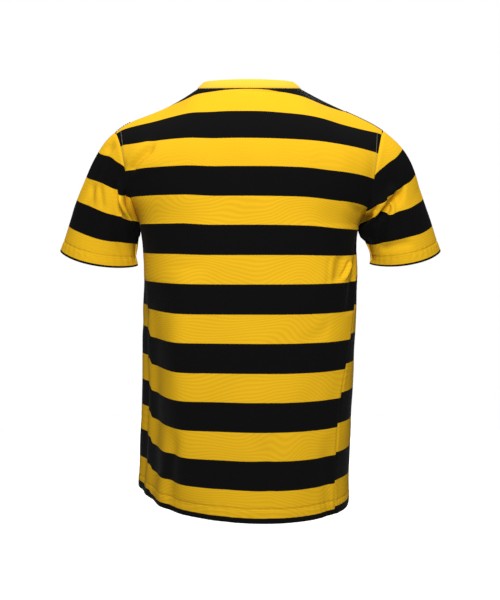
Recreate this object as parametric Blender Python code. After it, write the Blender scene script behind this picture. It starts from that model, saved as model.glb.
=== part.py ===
"""A striped, short-sleeved, crew-necked knit jersey in its worn form, with nobody inside it.

X runs to the right as seen from behind, Y from the back towards the chest, Z up. The origin is the middle of the
neck, level with the inner ends of the shoulder seams. Heights on the cloth run up the panels from the hem's edge, and
lengths on a sleeve run up from its cuff, because the hoops of the knit follow them.
"""

import math
from collections import defaultdict, namedtuple

import bpy
import numpy as np

# Cloth and seams, in metres
CLOTH = 0.0016
RIB_CLOTH = 0.0024
SEAM_GAP = 0.0003

# The cut, as heights on the cloth above the hem and lengths on the sleeve above the cuff
UNDERARM_HEIGHT = 0.492
SHOULDER_TIP_HEIGHT = 0.697
NECK_POINT_HEIGHT = {"left": 0.764, "right": 0.770}
NECK_HEIGHT = {"back": 0.736, "front": 0.668}
SLEEVE_TOP = 0.240
SLEEVE_UNDERARM = 0.092
CAP_SHAPE = 1.4
CUFF_CREASE = 0.45

# The neck and the shoulder seams
NECK_POINT = np.array([0.0915, -0.035, 0.0015])
NECK_MIDDLE = {"back": np.array([0, -0.080, -0.0062]), "front": np.array([0, 0.076, -0.088])}
NECK_LIFT = {"back": 50, "front": 40}
SHOULDER_LIFT = 28
NECK_CORNER = 20
SHOULDER_SAG = {"left": 0.002, "right": 0.001}
SHOULDER_HOLLOW = {"left": 0.003, "right": 0.0}
SHOULDER_CROWN = {"left": 0.0035, "right": 0.0015}
SHOULDER_POWER = {"left": 1.0, "right": 1.4}
SHOULDER_SWING = {"left": 0.05, "right": 0.0}
COLLAR_DEPTH = 0.0188
DROOP = 2.2

# How finely the walls are divided
NECK_SHARE = 0.4
HALF_COLUMNS = 20
SIDE_ROWS = 16
ARMHOLE_ROWS = 10
SLEEVE_ROWS = 9
COLLAR_ROWS = 2
YOKE_SHARE = {"back": 0.5, "front": 0.1}
CROWDING = 0.25
SHARED_LEAST = 0.9

# The torso, one row for each height on the cloth. Above the underarm its sides are the armhole seams, and front_in
# is how much further in the front's armhole cuts than the back's.
Level = namedtuple(
    "Level",
    "height z middle back_y front_y twist turn square "
    "left left_y left_z right right_y right_z front_in front_edge_y",
)
LEVELS = [
    Level(0.000, -0.733, 0.030, -0.129, 0.128, 38, 90, 2.0, -0.208, 0.054, -0.733, 0.178, -0.025, -0.733, 0, 0.045),
    Level(0.100, -0.633, 0.026, -0.133, 0.131, 38, 90, 2.2, -0.2005, 0.042, -0.633, 0.179, -0.025, -0.633, 0, 0.045),
    Level(0.200, -0.533, 0.020, -0.137, 0.133, 35, 90, 2.4, -0.1955, 0.036, -0.533, 0.184, -0.025, -0.533, 0, 0.045),
    Level(0.300, -0.433, 0.014, -0.140, 0.134, 24, 90, 2.6, -0.1945, 0.034, -0.433, 0.188, -0.024, -0.433, 0, 0.045),
    Level(0.400, -0.333, 0.008, -0.141, 0.133, 11, 90, 2.7, -0.1905, 0.020, -0.333, 0.191, -0.020, -0.333, 0, 0.045),
    Level(0.492, -0.2405, 0.003, -0.140, 0.128, 0, 88, 2.5, -0.1955, -0.012, -0.2425, 0.197, -0.012, -0.2475, 0, -0.012),
    Level(0.540, -0.1930, 0.001, -0.139, 0.124, 0, 76, 2.3, -0.204, -0.068, -0.195, 0.2065, -0.068, -0.2085, 0.012, 0.026),
    Level(0.589, -0.1445, 0.000, -0.137, 0.116, 0, 68, 2.2, -0.2118, -0.080, -0.151, 0.2149, -0.080, -0.1595, 0.021, 0.042),
    Level(0.637, -0.0985, 0.000, -0.130, 0.100, 0, 62, 2.1, -0.2226, -0.066, -0.1066, 0.2241, -0.066, -0.1165, 0.018, 0.022),
    Level(0.697, -0.0430, 0.000, -0.105, 0.070, 0, 60, 2.0, -0.2373, -0.035, -0.0755, 0.2371, -0.035, -0.0726, 0, -0.035),
]

# The torso's folds, one row each. A fold runs from a turn at its lower height to a turn at its upper one, turns being
# in degrees from the middle of the back. It reaches in by its depth, or out where that is negative.
Fold = namedtuple("Fold", "where low_turn high_turn low high depth width")
TORSO_FOLDS = [
    Fold("groove at the left side", -79, -77, -0.08, 0.40, 0.011, 5.5),
    Fold("roll behind that groove", -93, -90, -0.08, 0.42, -0.005, 10),
    Fold("corner of the back, left", -36, -36, 0.02, 0.42, -0.012, 10),
    Fold("flat from there to the groove", -66, -60, -0.25, 0.40, 0.012, 10),
    Fold("groove under the right arm", 62, 84, 0.34, 0.50, 0.007, 5),
    Fold("hollow above the hem, left", -46, -42, -0.06, 0.16, 0.004, 5),
    Fold("hollow above the hem, right", 47, 42, -0.06, 0.14, 0.003, 6),
    Fold("groove at the front, left", -128, -118, -0.08, 0.26, 0.008, 6),
    Fold("groove at the front, right", 132, 124, -0.08, 0.30, 0.009, 7),
    Fold("drape under the left chest", -150, -112, 0.26, 0.50, 0.006, 7),
    Fold("drape under the right chest", 148, 112, 0.24, 0.50, 0.006, 7),
]

# The sleeves' folds: places run as in sleeve_point, and low and high are shares of the way up from the cuff
ArmFold = namedtuple("ArmFold", "side low_place high_place low high depth width")
ARM_FOLDS = [
    ArmFold("left", 1.62, 0.95, 0.10, 0.80, 0.006, 0.16),
    ArmFold("left", 0.55, 0.40, 0.30, 0.85, 0.003, 0.10),
    ArmFold("left", -1.55, -0.90, 0.10, 0.85, 0.006, 0.18),
    ArmFold("left", 0, 0, 0.35, 0.90, 0.0035, 0.6),
    ArmFold("right", 1.75, 0.85, 0.22, 0.85, 0.008, 0.15),
    ArmFold("right", 0.95, 0.60, 0.30, 0.85, 0.004, 0.10),
    ArmFold("right", -1.50, -0.80, 0.12, 0.85, 0.006, 0.18),
    ArmFold("right", 0, 0, 0.50, 1.00, -0.005, 0.6),
]

# Each sleeve's cuff, as the places of its outer and inner edges, and how far its back reaches towards the camera side
Cuff = namedtuple("Cuff", "side outer inner back")
CUFFS = {
    "left": Cuff("left", (-0.3433, -0.005, -0.2877), (-0.2021, -0.010, -0.3142), (0, -0.052, -0.0105)),
    "right": Cuff("right", (0.3484, -0.005, -0.2875), (0.2193, -0.010, -0.3113), (0, -0.052, -0.0105)),
}

# How the sleeve's cloth runs, as the directions outwards, backwards and up at four places round it
Run = namedtuple("Run", "place outwards backwards up")
AT_ARMHOLE = [Run("top", -0.80, 0.00, 0.60), Run("back", -0.40, 0.15, 0.90), Run("under", -0.10, 0.0, 0.99)]
AT_CUFF = [Run("top", -0.37, 0.08, 0.93), Run("back", -0.22, 0.05, 0.97), Run("under", -0.06, 0.0, 1.0)]


def hermite(start, start_run, end, end_run, share):
    """A smooth curve between two values or points that leaves and arrives with the given runs."""
    s2, s3 = share * share, share**3
    return (
        start * (2 * s3 - 3 * s2 + 1)
        + start_run * (s3 - 2 * s2 + share)
        + end * (3 * s2 - 2 * s3)
        + end_run * (s3 - s2)
    )


def level_at(height):
    """The torso's values at any height, on smooth curves through the rows of LEVELS."""
    heights = np.array([row.height for row in LEVELS])
    values = np.array(LEVELS)
    slopes = np.gradient(values, heights, axis=0)
    i = int(np.clip(np.searchsorted(heights, height) - 1, 0, len(LEVELS) - 2))
    step = heights[i + 1] - heights[i]
    share = (height - heights[i]) / step
    return Level(*hermite(values[i], slopes[i] * step, values[i + 1], slopes[i + 1] * step, share))


def unit(vector):
    return vector / np.linalg.norm(vector)


def quarter(turn, square):
    """How far across and how far in the torso's outline is at a turn from the middle of the back or the front."""
    across = math.sin(turn)
    return across, 1 - max(0.0, 1 - across**square) ** (1 / square)


def edge_point(face, side, height):
    """The end of a panel's row, on the side seam or the armhole seam."""
    level = level_at(height)
    if side == "left":
        point = np.array([level.left, level.left_y, level.left_z])
        inwards = 1
    else:
        point = np.array([level.right, level.right_y, level.right_z])
        inwards = -1
    if face == "front" and height > UNDERARM_HEIGHT:
        point[0] += inwards * level.front_in
        point[1] = level.front_edge_y
    return point


def fold_depth(turn, height):
    """How far in the torso's folds take the cloth at a turn and a height."""
    depth = 0
    for fold in TORSO_FOLDS:
        share = (height - fold.low) / (fold.high - fold.low)
        if 0 < share < 1:
            line = fold.low_turn + (fold.high_turn - fold.low_turn) * share
            away = (turn - line + 180) % 360 - 180
            depth += fold.depth * math.sin(math.pi * share) ** 0.7 * math.exp(-((away / fold.width) ** 2))
    return depth


def folded(point, turn, height):
    """A point of the torso after its folds."""
    outwards = np.array([math.sin(math.radians(turn)), -math.cos(math.radians(turn)), 0])
    return point - outwards * fold_depth(turn, height)


def ring_point(height, turn):
    """A point of the closed torso below the underarm, at a turn in degrees from the middle of the back."""
    level = level_at(height)
    side = "left" if turn < 0 else "right"
    edge = edge_point("back", side, height)
    from_middle = min(abs(turn), 180 - abs(turn))
    middle_y = level.back_y if abs(turn) <= 90 else level.front_y
    across, inwards = quarter(math.radians(from_middle), level.square)
    point = np.array([
        level.middle + (edge[0] - level.middle) * across,
        middle_y + (edge[1] - middle_y) * inwards,
        level.z + (edge[2] - level.z) * across**DROOP,
    ])
    return folded(point, turn, height)


def chest_point(face, height, share):
    """A point of a row between the armholes, at a share from -1 at its left end to 1 at its right end."""
    level = level_at(height)
    edge = edge_point(face, "left" if share < 0 else "right", height)
    middle_y = level.back_y if face == "back" else level.front_y
    across, inwards = quarter(math.radians(abs(share) * level.turn), level.square)
    full_across, full_inwards = quarter(math.radians(level.turn), level.square)
    point = np.array([
        level.middle + (edge[0] - level.middle) * across / full_across,
        middle_y + (edge[1] - middle_y) * inwards / full_inwards,
        level.z + (edge[2] - level.z) * abs(share) ** DROOP,
    ])
    turn = share * level.turn if face == "back" else 180 - share * level.turn
    return folded(point, turn, height)


def row_point(face, height, share):
    """A point of a panel's level row below its yoke."""
    if height > UNDERARM_HEIGHT:
        return chest_point(face, height, share)
    turn = share * 90 - level_at(height).twist
    if face == "front":
        turn = 180 - share * 90 - level_at(height).twist
    return ring_point(height, (turn + 180) % 360 - 180)


def spread(column):
    """The share across a row of a column from -1 to 1, with the columns crowded towards the sides."""
    return column * (1 + CROWDING * (1 - column * column))


def top_point(face, column):
    """Where a column meets the neck seam or the shoulder seam.

    This is its place, its height on the cloth, and the angles at which it climbs and turns towards the neck there.
    """
    side = "left" if column < 0 else "right"
    sign = -1 if side == "left" else 1
    neck_point = NECK_POINT * (sign, 1, 1)
    if abs(column) <= NECK_SHARE:
        turn = math.pi / 2 * abs(column) / NECK_SHARE
        middle = NECK_MIDDLE[face]
        place = neck_point + (middle - neck_point * (0, 1, 1)) * (0, math.cos(turn), math.cos(turn))
        place[0] = neck_point[0] * math.sin(turn)
        height = NECK_POINT_HEIGHT[side] + (NECK_HEIGHT[face] - NECK_POINT_HEIGHT[side]) * math.cos(turn)
        lift = SHOULDER_LIFT + (NECK_LIFT[face] - SHOULDER_LIFT) * math.cos(turn)
        return place, height, lift, NECK_CORNER * (abs(column) / NECK_SHARE) ** 2
    along = (abs(column) - NECK_SHARE) / (1 - NECK_SHARE)
    place = neck_point + (edge_point("back", side, SHOULDER_TIP_HEIGHT) - neck_point) * along
    place[2] -= SHOULDER_SAG[side] * math.sin(2 * math.pi * along)
    place[2] -= SHOULDER_HOLLOW[side] * math.sin(math.pi * along)
    place[2] += SHOULDER_CROWN[side] * 17.6 * along**6 * (1 - along)
    share = along ** SHOULDER_POWER[side] + SHOULDER_SWING[side] * math.sin(2 * math.pi * along)
    height = NECK_POINT_HEIGHT[side] + (SHOULDER_TIP_HEIGHT - NECK_POINT_HEIGHT[side]) * share
    return place, height, SHOULDER_LIFT, NECK_CORNER * (1 - along) ** 5


def armhole_height(share):
    return UNDERARM_HEIGHT + (SHOULDER_TIP_HEIGHT - UNDERARM_HEIGHT) * share


def yoke_point(face, column, share):
    """A point above the last level row, at a share of the way from it to the neck and shoulder seams."""
    start_height = armhole_height(YOKE_SHARE[face])
    small = 0.002

    def blend(across):
        place, height, lift, aside = top_point(face, across)
        start = row_point(face, start_height, spread(across))
        below = row_point(face, start_height - small, spread(across))
        climb = (start - below) / small * (height - start_height)
        lift, aside = math.radians(lift), math.radians(aside)
        inwards, towards = (-1 if across > 0 else 1), (1 if face == "back" else -1)
        level_run = math.cos(lift)
        arrive = np.array([
            inwards * math.sin(aside) * level_run,
            towards * math.cos(aside) * level_run,
            math.sin(lift),
        ])
        return hermite(start, climb, place, arrive * np.linalg.norm(place - start), share)

    side = "left" if column < 0 else "right"
    sign = -1 if side == "left" else 1
    edge_height = start_height + (SHOULDER_TIP_HEIGHT - start_height) * share
    pull = edge_point(face, side, edge_height) - blend(sign)
    return blend(column) + pull * abs(column) ** 3


def panel_point(face, column, level):
    """A point of a panel. The level runs from 0 at the hem to 1 at the underarm and 2 at the shoulder's tip."""
    if level <= 1:
        return row_point(face, UNDERARM_HEIGHT * level, spread(column))
    if level - 1 <= YOKE_SHARE[face]:
        return row_point(face, armhole_height(level - 1), spread(column))
    return yoke_point(face, column, (level - 1 - YOKE_SHARE[face]) / (1 - YOKE_SHARE[face]))


def round_sleeve(rows, side, place):
    """The direction of the cloth at a place round the sleeve: 0 at the top, 1 at the back or front, 2 under the arm."""
    i = min(int(abs(place)), 1)
    share = abs(place) - i
    values = np.array([row[1:] for row in rows])
    direction = values[i] * (1 - share) + values[i + 1] * share
    sign = -1 if side == "left" else 1
    towards = -1 if place > 0 else 1
    return unit(direction * (sign, towards, 1))


def sleeve_point(side, place, along):
    """A point of a sleeve: place runs from -2 under the arm over the front to 0 at the top, and over the back to 2."""
    cuff = CUFFS[side]
    outer, inner, back = (np.array(row, float) for row in cuff[1:])
    turn = math.pi / 2 * place
    bulge = math.sin(turn) * abs(math.sin(turn)) ** CUFF_CREASE
    start = (outer + inner) / 2 + (outer - inner) / 2 * math.cos(turn) + back * bulge
    face = "back" if place >= 0 else "front"
    end = edge_point(face, side, armhole_height(1 - abs(place) / 2))
    if abs(place) == 2:
        end = edge_point("back", side, UNDERARM_HEIGHT)
    reach = np.linalg.norm(end - start)
    leave, arrive = (round_sleeve(rows, side, place) * reach for rows in (AT_CUFF, AT_ARMHOLE))
    point = hermite(start, leave, end, arrive, along)
    ends = [edge_point("back", side, height) for height in (SHOULDER_TIP_HEIGHT, UNDERARM_HEIGHT)]
    axis = (outer + inner) / 2 * (1 - along) + (ends[0] + ends[1]) / 2 * along
    outwards = unit((point - axis) * (1, 1, 0))
    for fold in ARM_FOLDS:
        share = (along - fold.low) / (fold.high - fold.low)
        if fold.side == side and 0 < share < 1:
            line = fold.low_place + (fold.high_place - fold.low_place) * share
            depth = fold.depth * math.sin(math.pi * share) * math.exp(-(((place - line) / fold.width) ** 2))
            point = point - outwards * depth
    return point


def collar_point(turn, up):
    """A point of the neck rib, at a turn from the middle of the back, rightwards, and a share of the way up."""
    face = "back" if math.cos(turn) >= 0 else "front"
    base, _, _, _ = top_point(face, NECK_SHARE * (2 / math.pi) * math.asin(max(-1.0, min(1.0, math.sin(turn)))))
    back, front = max(0.0, math.cos(turn)) ** 1.2, max(0.0, -math.cos(turn)) ** 2
    side = 1 - back - front
    lean = 0.35 * back + 0.66 * side + 0.75 * front
    rise = 0.94 * back + 0.66 * side + 0.66 * front
    inwards = unit(np.array([-math.sin(turn), math.cos(turn), 0]))
    belly = 0.0012 * math.sin(math.pi * up)
    step = COLLAR_DEPTH * up * (inwards * lean + np.array([0, 0, rise]))
    return base + step - inwards * belly


def grids():
    """The pieces as the maker lays them: name to rows of points, and whether the rows close into rings."""
    columns = [i / HALF_COLUMNS for i in range(-HALF_COLUMNS, HALF_COLUMNS + 1)]
    levels = [i / SIDE_ROWS for i in range(SIDE_ROWS + 1)]
    levels += [1 + i / ARMHOLE_ROWS for i in range(1, ARMHOLE_ROWS + 1)]
    round_arm = [2 * i / ARMHOLE_ROWS - 2 for i in range(2 * ARMHOLE_ROWS)]
    up_sleeve = [i / SLEEVE_ROWS for i in range(SLEEVE_ROWS + 1)]
    neck_columns = round(NECK_SHARE * HALF_COLUMNS)
    round_neck = [math.pi / 2 * i / neck_columns for i in range(4 * neck_columns)]
    up_collar = [i / COLLAR_ROWS for i in range(COLLAR_ROWS + 1)]
    made = {
        "back": ([[panel_point("back", c, v) for c in columns] for v in levels], False),
        "front": ([[panel_point("front", -c, v) for c in columns] for v in levels], False),
        "sleeve_left": ([[sleeve_point("left", p, w) for p in round_arm] for w in up_sleeve], True),
        "sleeve_right": ([[sleeve_point("right", -p, w) for p in round_arm] for w in up_sleeve], True),
        "collar": ([[collar_point(t, u) for t in round_neck] for u in up_collar], True),
    }
    return {name: (np.array(points), ring) for name, (points, ring) in made.items()}


def faces_of(grid, ring):
    """The triangles of a grid as places in it, row by row."""
    rows, columns = grid.shape[:2]
    for i in range(rows - 1):
        for j in range(columns if ring else columns - 1):
            k = (j + 1) % columns
            yield (i, j), (i, k), (i + 1, k)
            yield (i, j), (i + 1, k), (i + 1, j)


def sewn_normals(pieces):
    """The outward direction at each point of the sewn garment, shared by the pieces that meet there.

    Where two pieces meet in a sharp valley, as under the arm, each keeps its own direction.
    """

    def key(point):
        return tuple(np.round(point, 5))

    def total_of(parts):
        """The summed face normals at each point, and the summed ways from it to the faces round it."""
        normals, ways = defaultdict(lambda: np.zeros(3)), defaultdict(lambda: np.zeros(3))
        for grid, ring in parts:
            for a, b, c in faces_of(grid, ring):
                normal = np.cross(grid[b] - grid[a], grid[c] - grid[a])
                middle = (grid[a] + grid[b] + grid[c]) / 3
                for corner in (a, b, c):
                    normals[key(grid[corner])] += normal
                    ways[key(grid[corner])] += middle - grid[corner]
        return normals, ways

    shared, ways = total_of(pieces.values())
    out = {}
    for name, piece in pieces.items():
        own, _ = total_of([piece])
        grid = piece[0]
        out[name] = np.zeros_like(grid)
        for place in np.ndindex(grid.shape[:2]):
            spot = key(grid[place])
            mine, ours = unit(own[spot]), unit(shared[spot])
            valley = ways[spot] @ ours > 0 and mine @ ours < SHARED_LEAST
            out[name][place] = mine if valley else ours
    return out


def parted(grid, ring):
    """The grid with its sewn edges drawn back by half of the seam gap."""
    out = grid.copy()
    for edge, inner in ((0, 1), (-1, -2)):
        out[edge] += [SEAM_GAP / 2 * unit(b - a) for a, b in zip(grid[edge], grid[inner])]
        if not ring:
            step = [SEAM_GAP / 2 * unit(b - a) for a, b in zip(grid[:, edge], grid[:, inner])]
            out[:, edge] += step
    return out


def material(name, colour, roughness):
    made = bpy.data.materials.new(name)
    made.use_nodes = True
    shader = made.node_tree.nodes["Principled BSDF"]
    shader.inputs["Base Color"].default_value = (*colour, 1)
    shader.inputs["Roughness"].default_value = roughness
    return made


def rim_of(rows, columns, ring):
    """The runs of places round the edges of a grid, with the cloth on their left."""
    if ring:
        return [
            [(0, j % columns) for j in range(columns + 1)],
            [(rows - 1, j % columns) for j in range(columns, -1, -1)],
        ]
    bottom, top = ([(i, j) for j in range(columns)] for i in (0, rows - 1))
    left, right = ([(i, j) for i in range(1, rows - 1)] for j in (0, columns - 1))
    return [bottom + right + top[::-1] + left[::-1] + [(0, 0)]]


def wall(name, grid, normals, ring, thickness, finish):
    """A closed wall of cloth: the outer points, the same points moved in, and a rim round every edge."""
    rows, columns = grid.shape[:2]
    count = rows * columns
    outer = parted(grid, ring)
    inner = outer - normals * thickness
    faces = []
    for corners in faces_of(grid, ring):
        at = [i * columns + j for i, j in corners]
        faces.append(at)
        faces.append([count + k for k in reversed(at)])
    for run in rim_of(rows, columns, ring):
        for here, there in zip(run, run[1:]):
            a, b = (i * columns + j for i, j in (here, there))
            # Two walls that meet split their rims along the same diagonal, from the lower outer point
            if grid[here][2] < grid[there][2]:
                faces += [[b, a, count + b], [a, count + a, count + b]]
            else:
                faces += [[b, a, count + a], [b, count + a, count + b]]
    mesh = bpy.data.meshes.new(name)
    mesh.from_pydata(np.concatenate([outer.reshape(-1, 3), inner.reshape(-1, 3)]).tolist(), [], faces)
    mesh.validate()
    mesh.shade_smooth()
    mesh.set_sharp_from_angle(angle=math.radians(50))
    mesh.materials.append(finish)
    made = bpy.data.objects.new(name, mesh)
    bpy.context.collection.objects.link(made)
    return made


def main():
    for old in list(bpy.data.objects):
        bpy.data.objects.remove(old, do_unlink=True)
    jersey = material("hooped_knit", (0.72, 0.42, 0.03), 0.85)
    rib = material("neck_rib", (0.85, 0.52, 0.04), 0.85)
    pieces = grids()
    normals = sewn_normals(pieces)
    for name, (grid, ring) in pieces.items():
        collar = name == "collar"
        wall(name, grid, normals[name], ring, RIB_CLOTH if collar else CLOTH, rib if collar else jersey)


main()
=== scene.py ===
"""The looks of a hooped, short-sleeved, crew-necked knit jersey in its worn form, with nobody inside it.

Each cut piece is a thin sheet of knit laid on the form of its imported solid, with the finer creases, the turned-up
hems and the sewing added. X runs to the right as seen from behind, Y from the back towards the chest, Z up. Heights
on the cloth run up from the hem's or the cuff's edge, because the hoops of the knit follow them.
"""

import math
from collections import namedtuple
from functools import lru_cache

import bpy
import numpy as np
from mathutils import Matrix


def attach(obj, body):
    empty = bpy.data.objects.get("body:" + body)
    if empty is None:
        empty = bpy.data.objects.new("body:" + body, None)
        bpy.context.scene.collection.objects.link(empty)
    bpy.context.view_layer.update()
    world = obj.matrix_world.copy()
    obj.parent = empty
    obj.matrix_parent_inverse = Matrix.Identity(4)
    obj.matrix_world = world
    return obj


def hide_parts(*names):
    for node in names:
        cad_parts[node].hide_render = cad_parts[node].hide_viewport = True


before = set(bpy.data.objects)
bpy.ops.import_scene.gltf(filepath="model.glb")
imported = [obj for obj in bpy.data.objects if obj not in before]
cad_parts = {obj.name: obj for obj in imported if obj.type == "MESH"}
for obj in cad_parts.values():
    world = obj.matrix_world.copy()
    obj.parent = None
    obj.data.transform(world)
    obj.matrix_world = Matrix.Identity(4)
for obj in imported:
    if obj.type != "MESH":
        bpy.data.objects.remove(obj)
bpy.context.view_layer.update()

YELLOW = "#d5a518"
# The neck rib is the same yellow yarn, coloured brighter to paint in the light that falls on the top of the neck
RIB_YELLOW_WITH_PAINTED_LIGHT = "#e2b536"
BLACK = "#060606"

# Cloth, hems and hoops, in metres. BODY_BLACK and SLEEVE_BLACK are the heights of the lowest whole black hoops.
CLOTH = 0.0010
RIB_CLOTH = 0.0009
HEM_DEPTH = 0.023
CUFF_DEPTH = 0.020
TURN_UP_GAP = 0.0013
HOOP_PITCH = 0.0970
BLACK_HOOP = 0.0495
BODY_BLACK = 0.0545
SLEEVE_BLACK = 0.0490
SLEEVE_PITCH = 0.0945
FRONT_SHIFT = 0.009
HOOP_BLUR = 0.0004
COURSE_PITCH = 0.0058
TOOTH_PITCH = 0.0018
RIB_PITCH = 0.0030

# Half the width of a panel's cloth, a quarter of the way round a sleeve's, and the radius of the neck's
PANEL_HALF = 0.262
SLEEVE_QUARTER = 0.105
NECK_RADIUS = 0.075

# The steps of the grids of points
ROW_STEP = 0.0032
YOKE_LEVEL_STEP = 0.0125
NECK_STEP = 0.0030
SHOULDER_STEP = 0.0033
SLEEVE_COLUMNS = 144
COLLAR_COLUMNS = 200

# Where each piece's small waves begin, so that no two pieces match
PHASES = {"back": 0.7, "front": 2.9, "sleeve_left": 1.9, "sleeve_right": 4.4}

# Sewing: the thread's stitches, how far apart the rows are, and the height at which those beside the armholes begin
STITCH_SIZES = {"length": 0.0026, "gap": 0.0006, "width": 0.0006}
BELOW_HEM_LINE = 0.0015
ABOVE_HEM_LINE = 0.0035
ABOVE_CUFF_LINE = 0.0030
FROM_ARMHOLE = 0.0045
ARMHOLE_STITCHES_FROM = 0.60

# The cut, as heights on the cloth above the hem and lengths on the sleeve above the cuff
UNDERARM_HEIGHT = 0.492
SHOULDER_TIP_HEIGHT = 0.697
NECK_POINT_HEIGHT = {"left": 0.764, "right": 0.770}
NECK_HEIGHT = {"back": 0.736, "front": 0.668}
SLEEVE_TOP = 0.240
SLEEVE_UNDERARM = 0.092
CAP_SHAPE = 1.4
CUFF_CREASE = 0.45

# The neck and the shoulder seams
NECK_POINT = np.array([0.0915, -0.035, 0.0015])
NECK_MIDDLE = {"back": np.array([0, -0.080, -0.0062]), "front": np.array([0, 0.076, -0.088])}
NECK_LIFT = {"back": 50, "front": 40}
SHOULDER_LIFT = 28
NECK_CORNER = 20

# How each shoulder seam strays from a straight line, and how the heights on the cloth run along it
Shoulder = namedtuple("Shoulder", "sag hollow crown power swing")
SHOULDERS = {"left": Shoulder(0.002, 0.003, 0.0035, 1.0, 0.05), "right": Shoulder(0.001, 0, 0.0015, 1.4, 0)}

# The neck rib
COLLAR_DEPTH = 0.0188
COLLAR_THICKNESS = 0.0024
COLLAR_HOLLOW = 0.0012

# How late a row's ends begin to droop, the share of a top row that the neck takes, how far up the level rows go above
# the underarm, and how the columns crowd towards the sides
DROOP = 2.2
NECK_SHARE = 0.4
YOKE_SHARE = {"back": 0.5, "front": 0.1}
CROWDING = 0.25

# The torso, one row for each height on the cloth. Above the underarm its sides are the armhole seams, and front_in
# is how much further in the front's armhole cuts than the back's.
Level = namedtuple(
    "Level",
    "height z middle back_y front_y twist turn square "
    "left left_y left_z right right_y right_z front_in front_edge_y",
)
LEVEL_ROWS = [
    (0, -0.733, 0.03, -0.129, 0.128, 38, 90, 2, -0.208, 0.054, -0.733, 0.178, -0.025, -0.733, 0, 0.045),
    (0.1, -0.633, 0.026, -0.133, 0.131, 38, 90, 2.2, -0.2005, 0.042, -0.633, 0.179, -0.025, -0.633, 0, 0.045),
    (0.2, -0.533, 0.02, -0.137, 0.133, 35, 90, 2.4, -0.1955, 0.036, -0.533, 0.184, -0.025, -0.533, 0, 0.045),
    (0.3, -0.433, 0.014, -0.14, 0.134, 24, 90, 2.6, -0.1945, 0.034, -0.433, 0.188, -0.024, -0.433, 0, 0.045),
    (0.4, -0.333, 0.008, -0.141, 0.133, 11, 90, 2.7, -0.1905, 0.02, -0.333, 0.191, -0.02, -0.333, 0, 0.045),
    (0.492, -0.2405, 0.003, -0.14, 0.128, 0, 88, 2.5, -0.1955, -0.012, -0.2425, 0.197, -0.012, -0.2475, 0, -0.012),
    (0.54, -0.193, 0.001, -0.139, 0.124, 0, 76, 2.3, -0.204, -0.068, -0.195, 0.2065, -0.068, -0.2085, 0.012, 0.026),
    (0.589, -0.1445, 0, -0.137, 0.116, 0, 68, 2.2, -0.2118, -0.08, -0.151, 0.2149, -0.08, -0.1595, 0.021, 0.042),
    (0.637, -0.0985, 0, -0.13, 0.1, 0, 62, 2.1, -0.2226, -0.066, -0.1066, 0.2241, -0.066, -0.1165, 0.018, 0.022),
    (0.697, -0.043, 0, -0.105, 0.07, 0, 60, 2, -0.2373, -0.035, -0.0755, 0.2371, -0.035, -0.0726, 0, -0.035),
]
LEVELS = [Level(*row) for row in LEVEL_ROWS]

# The torso's main folds. A fold runs from a turn at its lower height to a turn at its upper one, in degrees from the
# middle of the back. It reaches in by its depth, or out where that is negative.
Fold = namedtuple("Fold", "where low_turn high_turn low high depth width")
TORSO_FOLDS = [
    Fold("groove at the left side", -79, -77, -0.08, 0.40, 0.011, 5.5),
    Fold("roll behind that groove", -93, -90, -0.08, 0.42, -0.005, 10),
    Fold("corner of the back, left", -36, -36, 0.02, 0.42, -0.012, 10),
    Fold("flat from there to the groove", -66, -60, -0.25, 0.40, 0.012, 10),
    Fold("groove under the right arm", 62, 84, 0.34, 0.50, 0.007, 5),
    Fold("hollow above the hem, left", -46, -42, -0.06, 0.16, 0.004, 5),
    Fold("hollow above the hem, right", 47, 42, -0.06, 0.14, 0.003, 6),
    Fold("groove at the front, left", -128, -118, -0.08, 0.26, 0.008, 6),
    Fold("groove at the front, right", 132, 124, -0.08, 0.30, 0.009, 7),
    Fold("drape under the left chest", -150, -112, 0.26, 0.50, 0.006, 7),
    Fold("drape under the right chest", 148, 112, 0.24, 0.50, 0.006, 7),
]

# The sleeves' main folds: places run as in sleeve_row, and low and high are shares of the way up from the cuff
ArmFold = namedtuple("ArmFold", "low_place high_place low high depth width")
ARM_FOLDS = {
    "left": [
        ArmFold(1.62, 0.95, 0.1, 0.8, 0.006, 0.16),
        ArmFold(0.55, 0.4, 0.3, 0.85, 0.003, 0.1),
        ArmFold(-1.55, -0.9, 0.1, 0.85, 0.006, 0.18),
        ArmFold(0, 0, 0.35, 0.9, 0.0035, 0.6),
    ],
    "right": [
        ArmFold(1.75, 0.85, 0.22, 0.85, 0.008, 0.15),
        ArmFold(0.95, 0.6, 0.3, 0.85, 0.004, 0.1),
        ArmFold(-1.5, -0.8, 0.12, 0.85, 0.006, 0.18),
        ArmFold(0, 0, 0.5, 1, -0.005, 0.6),
    ],
}

# Each sleeve's cuff, as the places of its outer and inner edges, and how far it bulges to the back
Cuff = namedtuple("Cuff", "outer inner back")
CUFFS = {
    "left": Cuff((-0.3433, -0.005, -0.2877), (-0.2021, -0.010, -0.3142), (0, -0.052, -0.0105)),
    "right": Cuff((0.3484, -0.005, -0.2875), (0.2193, -0.010, -0.3113), (0, -0.052, -0.0105)),
}

# How the sleeve's cloth runs at its top, at its back and under the arm, as directions outwards, backwards and up
AT_ARMHOLE = [(-0.80, 0, 0.60), (-0.40, 0.15, 0.90), (-0.10, 0, 0.99)]
AT_CUFF = [(-0.37, 0.08, 0.93), (-0.22, 0.05, 0.97), (-0.06, 0, 1.0)]
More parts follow.
